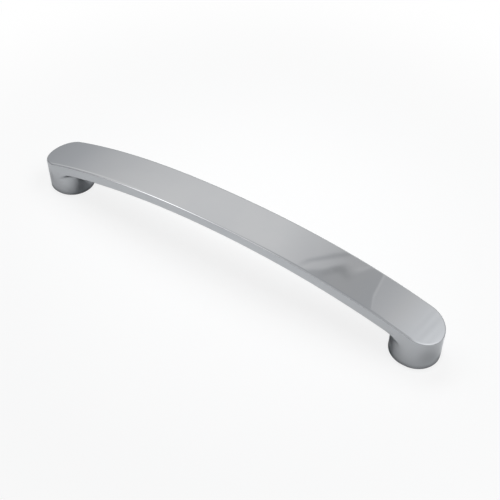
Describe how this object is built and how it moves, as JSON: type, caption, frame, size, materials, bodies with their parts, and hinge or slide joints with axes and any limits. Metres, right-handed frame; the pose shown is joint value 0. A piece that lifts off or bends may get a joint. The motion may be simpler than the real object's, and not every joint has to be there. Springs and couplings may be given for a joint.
{
  "type": "bridge pull handle",
  "caption": "Arched drawer and cupboard pull: a flat-topped metal bow with rounded ends that springs from short oval feet, screwed on from behind the door",
  "frame": {"origin": "on the door face, midway between the two fixing screws, at the centre of the handle's footprint", "axes": "+X runs along the handle from one screw to the other, +Y across it, and +Z points away from the door, towards the crown of the bow"},
  "size_m": [0.1784, 0.0176, 0.0255],
  "materials": {
    "bright_plating": "polished bright chrome plate over die-cast zinc"
  },
  "bodies": {
    "root": {"handle": "bright_plating"}
  },
  "joints": []
}
